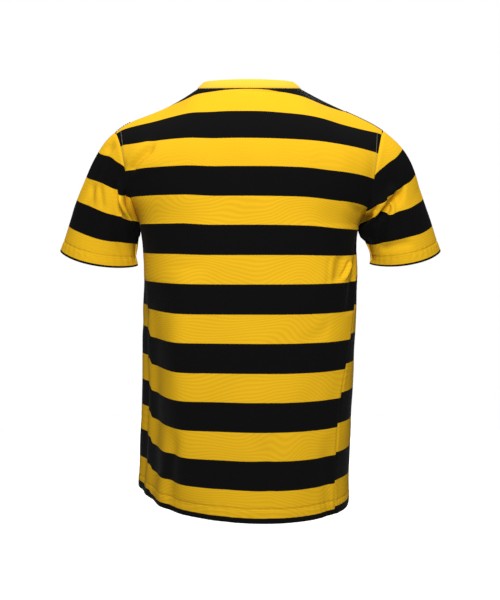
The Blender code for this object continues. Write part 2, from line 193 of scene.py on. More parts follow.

# The finer creases, listed one by one. Each runs between two spots of a piece, in metres across from its middle line
# and up from its edge, and bends aside by its bow. It is a soft trough of that depth with a low ridge beside it.
Crease = namedtuple("Crease", "across_a up_a across_b up_b bow width depth ridge")
CREASES = {
    "back": [
        (-0.25, 0.586, -0.172, 0.633, -0.003, 0.008, 0.007, 0.4),
        (-0.226, 0.56, -0.15, 0.585, 0.004, 0.009, 0.0022, 0.3),
        (0.172, 0.447, 0.176, 0.392, 0, 0.016, 0.005, 0.3),
        (0.199, 0.434, 0.186, 0.402, 0.002, 0.004, 0.004, 0.9),
        (0.141, 0.44, 0.158, 0.39, 0, 0.004, 0.0012, 0.8),
        (0.235, 0.52, 0.15, 0.548, 0.006, 0.01, 0.0022, 0.3),
        (-0.029, -0.01, -0.005, 0.15, 0.002, 0.01, 0.0026, 0.4),
        (0.118, -0.01, 0.104, 0.15, -0.005, 0.01, 0.0014, 0.4),
        (0.06, -0.01, 0.066, 0.08, 0.003, 0.008, 0.0008, 0.4),
        (-0.022, 0.729, 0.06, 0.732, -0.001, 0.0024, 0.0022, 0.7),
        (-0.19, 0.3, -0.12, 0.35, 0.01, 0.014, 0.0016, 0.3),
        (0.19, 0.33, 0.13, 0.3, 0.008, 0.014, 0.0014, 0.3),
    ],
    "front": [
        (-0.23, 0.56, -0.13, 0.52, 0.01, 0.01, 0.0045, 0.5),
        (0.232, 0.555, 0.126, 0.505, -0.01, 0.011, 0.004, 0.5),
        (-0.22, 0.6, -0.15, 0.58, 0.006, 0.007, 0.0028, 0.5),
        (0.218, 0.61, 0.16, 0.585, -0.006, 0.008, 0.0025, 0.5),
        (-0.06, 0.36, 0.03, 0.3, 0.012, 0.016, 0.002, 0.4),
        (-0.1, -0.01, -0.07, 0.18, 0.006, 0.012, 0.0022, 0.4),
        (0.07, -0.01, 0.05, 0.15, -0.006, 0.011, 0.002, 0.4),
        (-0.07, 0.655, -0.11, 0.6, 0.004, 0.009, 0.0016, 0.4),
        (0.074, 0.655, 0.118, 0.606, -0.004, 0.009, 0.0016, 0.4),
    ],
    "sleeve_left": [
        (0.09, 0.157, 0.142, 0.094, 0.001, 0.0048, 0.011, 0.4),
        (0.188, 0.088, 0.126, 0.15, 0, 0.0055, 0.0135, 0.7),
        (0.032, 0.14, 0.073, 0.098, 0.002, 0.006, 0.0016, 0.5),
        (0.06, 0.142, 0.092, 0.102, 0.002, 0.005, 0.0018, 0.5),
        (0.014, 0.216, 0.046, 0.2, 0, 0.009, 0.0026, 0.2),
        (0.204, 0.07, 0.206, 0.002, 0, 0.024, 0.006, 0),
        (-0.08, 0.15, -0.17, 0.08, 0.006, 0.006, 0.004, 0.5),
        (-0.15, 0.07, -0.198, 0.01, 0.004, 0.008, 0.004, 0.5),
    ],
    "sleeve_right": [
        (0.06, 0.135, 0.165, 0.096, 0, 0.0075, 0.014, 0.5),
        (0.042, 0.149, 0.104, 0.099, 0, 0.0036, 0.0024, 0.7),
        (0.124, 0.13, 0.204, 0.098, 0.002, 0.006, 0.01, 0.6),
        (0.09, 0.04, 0.16, 0.036, 0.003, 0.009, 0.0036, 0.5),
        (0.204, 0.07, 0.206, 0.002, 0, 0.024, 0.006, 0),
        (-0.085, 0.145, -0.172, 0.086, 0.006, 0.006, 0.004, 0.5),
        (-0.02, 0.13, -0.05, 0.08, 0.004, 0.005, 0.002, 0.5),
    ],
}

# Where the cloth is caught up in a deep fold its hoops jog, because so much more cloth lies above the fold's line,
# and so much below it. The line is given by places across and up, and the jog grows from one place across to another.
Tuck = namedtuple("Tuck", "across up above below start full sharp")
DEEP_FOLD = (0.060, 0.079, 0.105, 0.128, 0.158, 0.182, 0.200), (0.133, 0.1255, 0.1175, 0.116, 0.116, 0.1105, 0.104)
TUCKS = {
    "sleeve_right": [
        Tuck(*DEEP_FOLD, 0.0120, 0.0, 0.045, 0.125, 0.003),
        Tuck(*DEEP_FOLD, 0.0, -0.0165, 0.110, 0.128, 0.003),
        Tuck((0.006, 0.105), (0.142, 0.102), 0.0025, -0.0015, 0.006, 0.040, 0.003),
    ],
    "sleeve_left": [
        Tuck((0.050, 0.150), (0.146, 0.100), 0.0045, 0.0, 0.090, 0.125, 0.003),
        Tuck((0.000, 0.200), (0.180, 0.150), 0.0045, 0.0, 0.040, 0.080, 0.015),
    ],
}

# The strip behind the groove at the left side hangs apart, and its hoops ride higher there than the back's
STRIP_UP = (0.0, 0.064, 0.129, 0.183, 0.228, 0.273, 0.3085, 0.342, 0.372, 0.400)
STRIP_EDGE = (-0.080, -0.0820, -0.0855, -0.092, -0.101, -0.114, -0.1286, -0.154, -0.200, -0.230)
STRIP_LIFT = (0.004, 0.008, 0.012, 0.009, 0.008, 0.010, 0.012, 0.006, 0.001, 0.0)

# How widely the hoops are eased at the neck's corners, and how far out from them, in shares of half a panel
CORNER_EASE = 0.17
CORNER_REACH = 0.30

# The hoops also ride higher beside the back's left armhole and lower beside its right one, lower on the front near
# the hem, and higher on the inner side of the right sleeve
LEFT_RISE = 0.0028
RIGHT_DROP = 0.0026
FRONT_DROP = (0, 0.04, 0.10, 0.14, 0.20), (0.001, 0.004, 0.005, 0.004, 0)
INNER_SLEEVE_RISE = 0.0030


def curve(start, start_run, end, end_run, share):
    """A smooth curve between two values or points that leaves and arrives with the given runs."""
    s2, s3 = share * share, share**3
    leave = start * (2 * s3 - 3 * s2 + 1) + start_run * (s3 - 2 * s2 + share)
    return leave + end * (3 * s2 - 2 * s3) + end_run * (s3 - s2)


@lru_cache(maxsize=None)
def level_at(height):
    """The torso's values at any height, on smooth curves through the rows of LEVELS."""
    heights = np.array([row.height for row in LEVELS])
    values = np.array(LEVELS)
    slopes = np.gradient(values, heights, axis=0)
    i = int(np.clip(np.searchsorted(heights, height) - 1, 0, len(LEVELS) - 2))
    step = heights[i + 1] - heights[i]
    share = (height - heights[i]) / step
    return Level(*curve(values[i], slopes[i] * step, values[i + 1], slopes[i + 1] * step, share))


def unit(vectors):
    return vectors / np.linalg.norm(vectors, axis=-1, keepdims=True)


def smooth(low, high, value):
    """0 below the low value, 1 above the high one, and a soft step between them."""
    share = np.clip((value - low) / (high - low), 0, 1)
    return share * share * (3 - 2 * share)


def bell(distance, width):
    """1 at no distance, and next to nothing beyond two widths."""
    return np.exp(-((distance / width) ** 2))


def between(place, places, points):
    """The point or direction at a place, from those at a row of places."""
    return np.array([np.interp(place, places, points[:, k]) for k in range(3)])


def quarter(turn, square):
    """How far across and how far in the torso's outline is at a turn from the middle of the back or the front."""
    across = np.sin(turn)
    return across, 1 - np.maximum(0, 1 - across**square) ** (1 / square)


@lru_cache(maxsize=None)
def edge_point(face, side, height):
    """The end of a panel's row, on the side seam or the armhole seam."""
    level = level_at(height)
    ends = {
        "left": (level.left, level.left_y, level.left_z),
        "right": (level.right, level.right_y, level.right_z),
    }
    point = np.array(ends[side])
    if face == "front" and height > UNDERARM_HEIGHT:
        point[0] += level.front_in * (1 if side == "left" else -1)
        point[1] = level.front_edge_y
    return point


def folded(points, turns, height):
    """Points of the torso after its main folds, at turns in degrees from the middle of the back."""
    depth = np.zeros(len(turns))
    for fold in TORSO_FOLDS:
        share = (height - fold.low) / (fold.high - fold.low)
        if 0 < share < 1:
            line = fold.low_turn + (fold.high_turn - fold.low_turn) * share
            away = (turns - line + 180) % 360 - 180
            depth += fold.depth * math.sin(math.pi * share) ** 0.7 * bell(away, fold.width)
    outwards = np.stack([np.sin(np.radians(turns)), -np.cos(np.radians(turns)), np.zeros(len(turns))], axis=1)
    return points - outwards * depth[:, None]


def side_ends(face, height, lefts):
    """For each point of a row, the end of the row on its own side."""
    left, right = edge_point(face, "left", height), edge_point(face, "right", height)
    return np.where(lefts[:, None], left, right)


def ring_row(height, turns):
    """A row of the closed torso below the underarm, at turns in degrees from the middle of the back."""
    level = level_at(height)
    ends = side_ends("back", height, turns < 0)
    from_middle = np.minimum(abs(turns), 180 - abs(turns))
    middle_y = np.where(abs(turns) <= 90, level.back_y, level.front_y)
    across, inwards = quarter(np.radians(from_middle), level.square)
    points = np.stack([
        level.middle + (ends[:, 0] - level.middle) * across,
        middle_y + (ends[:, 1] - middle_y) * inwards,
        level.z + (ends[:, 2] - level.z) * across**DROOP,
    ], axis=1)
    return folded(points, turns, height)


def chest_row(face, height, shares):
    """A row between the armholes, at shares from -1 at its left end to 1 at its right end."""
    level = level_at(height)
    ends = side_ends(face, height, shares < 0)
    middle_y = level.back_y if face == "back" else level.front_y
    across, inwards = quarter(np.radians(abs(shares) * level.turn), level.square)
    full_across, full_inwards = quarter(math.radians(level.turn), level.square)
    points = np.stack([
        level.middle + (ends[:, 0] - level.middle) * across / full_across,
        middle_y + (ends[:, 1] - middle_y) * inwards / full_inwards,
        level.z + (ends[:, 2] - level.z) * abs(shares) ** DROOP,
    ], axis=1)
    turns = shares * level.turn if face == "back" else 180 - shares * level.turn
    return folded(points, turns, height)


def spread(columns):
    """The shares across a row of columns from -1 to 1, with the columns crowded towards the sides."""
    return columns * (1 + CROWDING * (1 - columns * columns))


def level_row(face, height, columns):
    """A panel's level row below its yoke."""
    shares = spread(columns)
    if height > UNDERARM_HEIGHT:
        return chest_row(face, height, shares)
    turns = shares * 90 - level_at(height).twist
    if face == "front":
        turns = 180 - shares * 90 - level_at(height).twist
    return ring_row(height, (turns + 180) % 360 - 180)


def top_row(face, columns):
    """Where columns meet the neck seam or the shoulder seam.

    These are their places, their heights on the cloth, and the angles at which they climb and turn to the neck there.
    """
    places, heights, lifts, asides = np.zeros((len(columns), 3)), *np.zeros((3, len(columns)))
    for k, column in enumerate(columns):
        side, sign = ("left", -1) if column < 0 else ("right", 1)
        neck_point, neck_height = NECK_POINT * (sign, 1, 1), NECK_POINT_HEIGHT[side]
        if abs(column) <= NECK_SHARE:
            turn = math.pi / 2 * abs(column) / NECK_SHARE
            middle = NECK_MIDDLE[face]
            places[k] = neck_point + (middle - neck_point * (0, 1, 1)) * (0, math.cos(turn), math.cos(turn))
            places[k][0] = neck_point[0] * math.sin(turn)
            heights[k] = neck_height + (NECK_HEIGHT[face] - neck_height) * math.cos(turn)
            lifts[k] = SHOULDER_LIFT + (NECK_LIFT[face] - SHOULDER_LIFT) * math.cos(turn)
            asides[k] = NECK_CORNER * (abs(column) / NECK_SHARE) ** 2
        else:
            shoulder = SHOULDERS[side]
            along = (abs(column) - NECK_SHARE) / (1 - NECK_SHARE)
            places[k] = neck_point + (edge_point("back", side, SHOULDER_TIP_HEIGHT) - neck_point) * along
            places[k][2] -= shoulder.sag * math.sin(2 * math.pi * along)
            places[k][2] -= shoulder.hollow * math.sin(math.pi * along)
            # 17.6 brings this hump near the shoulder's tip to its full height
            places[k][2] += shoulder.crown * 17.6 * along**6 * (1 - along)
            share = along**shoulder.power + shoulder.swing * math.sin(2 * math.pi * along)
            heights[k] = neck_height + (SHOULDER_TIP_HEIGHT - neck_height) * share
            lifts[k] = SHOULDER_LIFT
            asides[k] = NECK_CORNER * (1 - along) ** 5
    return places, heights, np.radians(lifts), np.radians(asides)


def armhole_height(share):
    return UNDERARM_HEIGHT + (SHOULDER_TIP_HEIGHT - UNDERARM_HEIGHT) * share


def yoke_row(face, columns, share):
    """A row above the last level row, at a share of the way from it to the neck and shoulder seams."""
    start_height = armhole_height(YOKE_SHARE[face])
    little = 0.002

    def blend(across):
        places, heights, lifts, asides = top_row(face, across)
        start = level_row(face, start_height, across)
        below = level_row(face, start_height - little, across)
        climb = (start - below) / little * (heights - start_height)[:, None]
        inwards, towards = np.where(across > 0, -1, 1), (1 if face == "back" else -1)
        level_run = np.cos(lifts)
        arrive = np.stack([
            inwards * np.sin(asides) * level_run,
            towards * np.cos(asides) * level_run,
            np.sin(lifts),
        ], axis=1)
        return curve(start, climb, places, arrive * np.linalg.norm(places - start, axis=1, keepdims=True), share)

    edge_height = start_height + (SHOULDER_TIP_HEIGHT - start_height) * share
    pulls = side_ends(face, edge_height, columns < 0) - blend(np.where(columns < 0, -1.0, 1.0))
    return blend(columns) + pulls * (abs(columns) ** 3)[:, None]


def panel_row(face, columns, level):
    """A row of a panel and its heights on the cloth.

    The level runs from 0 at the hem to 1 at the underarm and 2 at the shoulder's tip.
    """
    if level - 1 <= YOKE_SHARE[face]:
        height = UNDERARM_HEIGHT * level if level <= 1 else armhole_height(level - 1)
        return level_row(face, height, columns), np.full(len(columns), height)
    share = (level - 1 - YOKE_SHARE[face]) / (1 - YOKE_SHARE[face])
    start_height = armhole_height(YOKE_SHARE[face])
    tops = top_row(face, columns)[1]
    return yoke_row(face, columns, share), start_height + (tops - start_height) * share


def round_sleeve(rows, side, places):
    """The cloth's direction at places round the sleeve: 0 at the top, 1 at the back or front, 2 under the arm."""
    values = np.array(rows)
    whole = np.minimum(abs(places).astype(int), 1)
    share = (abs(places) - whole)[:, None]
    directions = values[whole] * (1 - share) + values[whole + 1] * share
    sign = -1 if side == "left" else 1
    towards = np.where(places > 0, -1, 1)
    directions = directions * np.stack([np.full(len(places), sign), towards, np.ones(len(places))], axis=1)
    return unit(directions)


def sleeve_row(side, places, along):
    """A row of a sleeve: places run from -2 under the arm over the front to 0 at the top, and over the back to 2."""
    outer, inner, back = (np.array(place, float) for place in CUFFS[side])
    turns = (math.pi / 2 * places)[:, None]
    bulge = np.sin(turns) * abs(np.sin(turns)) ** CUFF_CREASE
    start = (outer + inner) / 2 + (outer - inner) / 2 * np.cos(turns) + back * bulge
    end = np.array([
        edge_point("back" if place >= 0 else "front", side, armhole_height(1 - abs(place) / 2))
        if abs(place) < 2
        else edge_point("back", side, UNDERARM_HEIGHT)
        for place in places
    ])
    reach = np.linalg.norm(end - start, axis=1, keepdims=True)
    leave, arrive = (round_sleeve(rows, side, places) * reach for rows in (AT_CUFF, AT_ARMHOLE))
    points = curve(start, leave, end, arrive, along)
    ends = [edge_point("back", side, height) for height in (SHOULDER_TIP_HEIGHT, UNDERARM_HEIGHT)]
    axis = (outer + inner) / 2 * (1 - along) + (ends[0] + ends[1]) / 2 * along
    outwards = unit((points - axis) * (1, 1, 0))
    for fold in ARM_FOLDS[side]:
        share = (along - fold.low) / (fold.high - fold.low)
        if 0 < share < 1:
            line = fold.low_place + (fold.high_place - fold.low_place) * share
            depth = fold.depth * math.sin(math.pi * share) * bell(places - line, fold.width)
            points = points - outwards * depth[:, None]
    return points


def sleeve_length(places):
    """The length of the sleeve's cloth from the cuff to the armhole seam."""
    return SLEEVE_TOP - (SLEEVE_TOP - SLEEVE_UNDERARM) * (abs(places) / 2) ** CAP_SHAPE


def collar_row(turns, up):
    """A row of the neck rib, at turns from the middle of the back, rightwards, and a share of the way up."""
    shares = NECK_SHARE * (2 / math.pi) * np.arcsin(np.clip(np.sin(turns), -1, 1))
    base = np.where((np.cos(turns) >= 0)[:, None], top_row("back", shares)[0], top_row("front", shares)[0])
    back, front = np.maximum(0, np.cos(turns)) ** 1.2, np.maximum(0, -np.cos(turns)) ** 2
    side = 1 - back - front
    lean = 0.35 * back + 0.66 * side + 0.75 * front
    rise = 0.94 * back + 0.66 * side + 0.66 * front
    inwards = np.stack([-np.sin(turns), np.cos(turns), 0 * turns], axis=1)
    step = COLLAR_DEPTH * up * (inwards * lean[:, None] + np.array([0, 0, 1]) * rise[:, None])
    return base + step - inwards * COLLAR_HOLLOW * math.sin(math.pi * up)


# A piece of cloth as a grid of points: across and up are its places on the flat cloth, and ring says whether its
# rows close on themselves.
Sheet = namedtuple("Sheet", "name points across up ring")


def outward(points, ring):
    """The outward direction at each point of a grid."""
    wide = np.concatenate([points[:, -1:], points, points[:, :1]], axis=1) if ring else points
    sideways = np.gradient(wide, axis=1)
    if ring:
        sideways = sideways[:, 1:-1]
    return unit(np.cross(sideways, np.gradient(points, axis=0)))


def crease_depths(sheet):
    """How far in the finer creases take each point. Those beside a sleeve's underarm seam run on across it."""
    depths = np.zeros(sheet.up.shape)
    for crease in (Crease(*row) for row in CREASES[sheet.name]):
        run = np.array([crease.across_b - crease.across_a, crease.up_b - crease.up_a])
        length = np.linalg.norm(run)
        for lap in (-4 * SLEEVE_QUARTER, 0, 4 * SLEEVE_QUARTER) if sheet.ring else (0,):
            from_a = np.stack([sheet.across + lap - crease.across_a, sheet.up - crease.up_a], axis=-1)
            along = from_a @ run / length**2
            aside = (from_a @ np.array([-run[1], run[0]])) / length - crease.bow * 4 * along * (1 - along)
            ends = smooth(-0.03, 0.22, along) * (1 - smooth(0.78, 1.03, along))
            ridge = bell(aside - 2.0 * crease.width, 1.3 * crease.width)
            depths += crease.depth * ends * (bell(aside, crease.width) - crease.ridge * ridge)
    return depths


def hoop_heights(sheet):
    """The heights by which the hoops are coloured.

    They are the cloth's own, with the jogs at its deep folds, and eased across the neck's corners, where the yoke
    turns sharply and the knit stretches to run on smoothly.
    """
    heights = sheet.up.copy()
    if not sheet.ring:
        columns = sheet.across[-1] / PANEL_HALF
        near = bell(columns[:, None] - columns, CORNER_EASE) * abs(np.gradient(columns))
        near /= near.sum(axis=1, keepdims=True)
        tall = sheet.points[..., 2]
        climb = np.maximum(0.3, np.gradient(tall, axis=0) / np.maximum(1e-5, np.gradient(heights, axis=0)))
        eased = heights @ near.T + (tall - tall @ near.T) / climb
        at_corner = bell(abs(columns) - spread(NECK_SHARE), CORNER_REACH) * smooth(0.60, 0.66, heights)
        heights += (eased - heights) * at_corner
    if sheet.name == "back":
        behind = sheet.across - np.interp(sheet.up, STRIP_UP, STRIP_EDGE)
        heights -= np.interp(sheet.up, STRIP_UP, STRIP_LIFT) * (1 - smooth(-0.006, 0.002, behind))
        upper = smooth(0.42, 0.47, sheet.up)
        heights -= LEFT_RISE * upper * (1 - smooth(-0.11, -0.05, sheet.across))
        heights += RIGHT_DROP * upper * smooth(0.08, 0.15, sheet.across) * (1 - smooth(0.60, 0.64, sheet.up))
    if sheet.name == "front":
        heights += np.interp(sheet.up, *FRONT_DROP)
    if sheet.name == "sleeve_right":
        inner = smooth(0.06, 0.10, sheet.across) * (1 - smooth(0.14, 0.17, sheet.across))
        heights -= INNER_SLEEVE_RISE * inner * smooth(0.02, 0.06, sheet.up)
    for tuck in TUCKS.get(sheet.name, []):
        aside = sheet.up - np.interp(sheet.across, tuck.across, tuck.up)
        over = smooth(-tuck.sharp, tuck.sharp, aside)
        caught = smooth(tuck.start, tuck.full, sheet.across) * (1 - smooth(0.190, 0.210, sheet.across))
        heights += caught * (tuck.above * over + tuck.below * (1 - over) * smooth(0.055, 0.098, sheet.up))
    return heights


def unevenness(sheet, phase):
    """The small uneven hang of soft knit, about half a millimetre either way."""
    total = np.zeros(sheet.up.shape)
    for k in range(1, 7):
        wave = 0.19 / k**0.7
        direction = phase + 2.4 * k
        place = sheet.across * math.cos(direction) + sheet.up * math.sin(direction)
        total += np.sin(2 * math.pi * place / wave + 1.7 * k * k + phase) / k**0.8
    return 0.00045 * total


def sewn_edge(distances, along, phase):
    """The rise of the cloth beside a seam and its puckers, at distances from the seam's line."""
    highest_at = 0.0035
    rise = -0.0008 * (distances / highest_at) * np.exp(1 - distances / highest_at)
    waves = np.sin(2 * math.pi * along / 0.0115 + phase + 1.3 * np.sin(along * 61 + phase))
    loud = 0.6 + 0.4 * np.sin(along * 37 + 2 * phase)
    return rise + 0.00035 * waves * loud * np.exp(-distances / 0.009)


def held_at_seam(distances):
    """How far a point is free of its seam, where neighbouring pieces have to meet: 0 on the line, 1 well away."""
    return 1 - bell(distances, 0.005)


def stitched_band(up, across, depth, phase):
    """The relief of a turned-up hem: a fine dip where the needles went, puckers, and two layers of cloth below."""
    dip = 0.0006 * bell(up - depth, 0.0018)
    layers = -0.0005 * (1 - smooth(depth - 0.002, depth, up))
    waves = np.sin(2 * math.pi * (across + 0.25 * up) / 0.0125 + phase + 1.5 * np.sin(across * 43 + phase))
    return dip + layers + 0.0004 * waves * bell(up - depth * 0.75, depth * 0.55)


def even_and_edges(low, high, step, fine=()):
    """Even steps from low to high, with extra ones near the places where something fine is sewn."""
    steps = np.linspace(low, high, max(2, round((high - low) / step)) + 1)
    extra = [place for place in fine if low < place < high]
    return np.unique(np.round(np.concatenate([steps, extra]), 6))


def laid(sheet, depths):
    """The sheet after all its points have gone in by their depths."""
    return sheet._replace(points=sheet.points - outward(sheet.points, sheet.ring) * depths[..., None])


def turned_up(sheet, depth):
    """The sheet with its lower edge folded inwards and up again behind itself, as a hem is."""
    normals = outward(sheet.points, sheet.ring)

    def at(height, values):
        return np.stack([between(height, sheet.up[:, j], values[:, j]) for j in range(sheet.up.shape[1])])

    inset = CLOTH + TURN_UP_GAP
    fold = [(depth * share, inset) for share in (1.12, 0.85, 0.55, 0.3, 0.14)]
    fold += [(0.0009, inset * 0.93), (0.0002, inset * 0.72), (0.0, inset * 0.45), (0.0001, inset * 0.2)]
    rows = [at(height, sheet.points) - at(height, normals) * inwards for height, inwards in fold]
    behind = [-height for height, _ in fold]
    tail = sheet.up[1:] if sheet.up[1].max() > 0.0004 else sheet.up[2:]
    points = np.concatenate([rows, sheet.points[-len(tail):]])
    up = np.concatenate([np.repeat(np.array(behind)[:, None], sheet.up.shape[1], axis=1), tail])
    across = np.concatenate([np.repeat(sheet.across[:1], len(rows), axis=0), sheet.across[-len(tail):]])
    return sheet._replace(points=points, across=across, up=up)


def panel(face):
    """The back or the front, with its creases and its hem."""
    beside = np.array([0.0012, 0.0025, 0.0045, 0.0070, 0.0100]) / PANEL_HALF
    inner = even_and_edges(0, NECK_SHARE, NECK_STEP / PANEL_HALF)
    outer = even_and_edges(NECK_SHARE, 1, SHOULDER_STEP / PANEL_HALF, 1 - beside)
    half = np.unique(np.concatenate([inner, outer]))
    columns = np.concatenate([-half[:0:-1], half])
    if face == "front":
        columns = -columns
    near_hem = np.array([0.001, 0.0185, 0.0215, 0.0225, 0.0235, 0.0245, 0.0265]) / UNDERARM_HEIGHT
    levels = even_and_edges(0, 1, ROW_STEP / UNDERARM_HEIGHT, near_hem)
    near_top = 2 - np.array([0.008, 0.018, 0.032, 0.05])
    levels = np.concatenate([levels, even_and_edges(1, 2, YOKE_LEVEL_STEP, near_top)[1:]])
    rows = [panel_row(face, columns, level) for level in levels]
    up = np.array([heights for _, heights in rows])
    across = np.repeat((spread(columns) * PANEL_HALF)[None], len(rows), axis=0)
    sheet = Sheet(face, np.array([points for points, _ in rows]), across, up, False)
    phase = PHASES[face]
    to_side = PANEL_HALF - abs(across)
    to_top = up[-1] - up
    depths = crease_depths(sheet) + unevenness(sheet, phase)
    depths += sewn_edge(to_side, up, phase) + sewn_edge(to_top, across, phase + 1)
    depths += stitched_band(up, across, HEM_DEPTH, phase)
    depths *= held_at_seam(np.minimum(to_side, to_top))
    return turned_up(laid(sheet, depths), HEM_DEPTH)


def sleeve(side):
    """A sleeve with its creases and its cuff."""
    places = 4 * np.arange(SLEEVE_COLUMNS) / SLEEVE_COLUMNS - 2
    if side == "right":
        places = -places
    near_cuff = np.array([0.0008, 0.016, 0.0185, 0.0200, 0.0215, 0.024]) / SLEEVE_TOP
    near_armhole = 1 - np.array([0.0015, 0.003, 0.005, 0.008]) / SLEEVE_TOP
    shares = even_and_edges(0, 1, ROW_STEP / 0.2, np.concatenate([near_cuff, near_armhole]))
    points = np.array([sleeve_row(side, places, share) for share in shares])
    lengths = sleeve_length(places)
    steps = np.linalg.norm(np.diff(points, axis=0), axis=2)
    far = np.concatenate([np.zeros((1, SLEEVE_COLUMNS)), np.cumsum(steps, axis=0)])
    up = far / far[-1] * lengths[None]
    across = np.repeat((places * SLEEVE_QUARTER)[None], len(shares), axis=0)
    sheet = Sheet("sleeve_" + side, points, across, up, True)
    phase = PHASES[sheet.name]
    to_armhole = up[-1] - up
    depths = crease_depths(sheet) + unevenness(sheet, phase) + sewn_edge(to_armhole, across, phase)
    depths += stitched_band(up, across, CUFF_DEPTH, phase)
    depths *= held_at_seam(to_armhole)
    return turned_up(laid(sheet, depths), CUFF_DEPTH)


def collar():
    """The neck rib: a band folded double, so it goes up outside, over the top and down inside."""
    turns = 2 * math.pi * np.arange(COLLAR_COLUMNS) / COLLAR_COLUMNS
    inwards = np.stack([-np.sin(turns), np.cos(turns), 0 * turns], axis=1)
    top = collar_row(turns, 1)
    leaned = unit(top - collar_row(turns, 0.5))
    round_the_neck = np.roll(top, -1, axis=0) - np.roll(top, 1, axis=0)
    in_through = unit(np.cross(leaned, unit(round_the_neck)))
    in_through *= np.sign((in_through * inwards).sum(axis=1, keepdims=True))
    profile = [(share, 0.0) for share in (0, 0.06, 0.14, 0.3, 0.5, 0.7, 0.86, 0.94)]
    profile += [(0.975, 0.10), (0.995, 0.30), (1.0, 0.5), (0.995, 0.70), (0.975, 0.90)]
    profile += [(share, 1.0) for share in (0.94, 0.86, 0.7, 0.5, 0.3, 0.14, 0.0)]
    points = np.array([
        collar_row(turns, share) + in_through * COLLAR_THICKNESS * inset for share, inset in profile
    ])
    up = np.array([
        COLLAR_DEPTH * (share if inset <= 0.5 else 2 - share) for share, inset in profile
    ])[:, None] * np.ones((1, len(turns)))
    across = np.repeat((turns * NECK_RADIUS)[None], len(profile), axis=0)
    sheet = Sheet("collar", points, across, up, True)
    depths = -0.0006 * (up / 0.0025) * np.exp(1 - up / 0.0025)
    return laid(sheet, depths)


def new_object(name, data):
    """An object in the scene for a mesh, a light or a camera."""
    made = bpy.data.objects.new(name, data)
    bpy.context.collection.objects.link(made)
    return made


def new_mesh(name, points, faces, finish):
    """A smooth object of one finish."""
    mesh = bpy.data.meshes.new(name)
    mesh.from_pydata(points.tolist(), [], faces)
    mesh.shade_smooth()
    mesh.materials.append(finish)
    return new_object(name, mesh)


def cloth_object(sheet, thickness, finish):
    """The mesh of a sheet, with its places on the flat cloth as its UV map, given its thickness inwards."""
    rows, columns = sheet.up.shape
    count = columns if sheet.ring else columns - 1
    i, j = (axis.ravel() for axis in np.meshgrid(np.arange(rows - 1), np.arange(count), indexing="ij"))
    k = (j + 1) % columns
    faces = np.stack([i * columns + j, i * columns + k, (i + 1) * columns + k, (i + 1) * columns + j], axis=1)
    made = new_mesh(sheet.name + "_cloth", sheet.points.reshape(-1, 3), faces.tolist(), finish)
    across_next = sheet.across[:, 1:2] - sheet.across[:, :1]
    wide_across = np.concatenate([sheet.across, sheet.across[:, -1:] + across_next], axis=1)
    heights = hoop_heights(sheet)
    wide_up = np.concatenate([heights, heights[:, :1]], axis=1)
    corners = [(i, j), (i, j + 1), (i + 1, j + 1), (i + 1, j)]
    flat = np.stack([np.stack([wide_across[a, b], wide_up[a, b]], axis=-1) for a, b in corners], axis=1)
    made.data.uv_layers.new(name="cloth").uv.foreach_set("vector", flat.ravel())
    bpy.ops.object.select_all(action="DESELECT")
    made.select_set(True)
    bpy.context.view_layer.objects.active = made
    wall = made.modifiers.new("thickness", "SOLIDIFY")
    wall.thickness = thickness
    wall.offset = -1
    wall.use_even_offset = False
    bpy.ops.object.modifier_apply(modifier=wall.name)
    return made


def linear(hex_colour):
    """A material's colour from its sRGB hex value."""
    parts = [int(hex_colour[i : i + 2], 16) / 255 for i in (1, 3, 5)]
    return (*((c / 12.92 if c <= 0.04045 else ((c + 0.055) / 1.055) ** 2.4) for c in parts), 1)


def add(tree, kind, inputs=None, **settings):
    """A node with its settings, its inputs' values and its links."""
    node = tree.nodes.new("ShaderNode" + kind)
    for key, value in settings.items():
        setattr(node, key, value)
    for key, value in (inputs or {}).items():
        if isinstance(value, bpy.types.NodeSocket):
            tree.links.new(value, node.inputs[key])
        else:
            node.inputs[key].default_value = value
    return node


def new_finish(name, **values):
    """A material whose shader has these values, named as its sockets are but with underscores."""
    finish = bpy.data.materials.new(name)
    finish.use_nodes = True
    shader = finish.node_tree.nodes["Principled BSDF"]
    for socket, value in values.items():
        shader.inputs[socket.replace("_", " ")].default_value = value
    return finish, finish.node_tree, shader


def textile(name, roughness, sheen):
    """A matt textile: soft fibre ends catch the light at grazing angles, which the sheen stands for."""
    return new_finish(
        name, Roughness=roughness, IOR=1.5, Specular_IOR_Level=0.07, Sheen_Weight=sheen, Sheen_Roughness=0.45
    )


def maths(tree, operation, *values):
    """The outcome of a Math node for its values or sockets."""
    return add(tree, "Math", dict(enumerate(values)), operation=operation).outputs[0]


def ripple(tree, place, pitch):
    """A sine wave along a place on the cloth."""
    return maths(tree, "SINE", maths(tree, "MULTIPLY", place, 2 * math.pi / pitch))


def toned(tree, hex_colour, tone):
    """A dyed yarn's colour, lighter or darker by its tone from spot to spot."""
    inputs = {0: 1.0, 6: linear(hex_colour), 7: tone}
    return add(tree, "Mix", inputs, data_type="RGBA", blend_type="MULTIPLY").outputs[2]


def dressed(tree, shader, colour, relief, strength, distance):
    """Links a textile's colour and relief to its shader."""
    tree.links.new(colour, shader.inputs["Base Color"])
    bump = add(tree, "Bump", {"Height": relief, "Strength": strength, "Distance": distance})
    tree.links.new(bump.outputs[0], shader.inputs["Normal"])


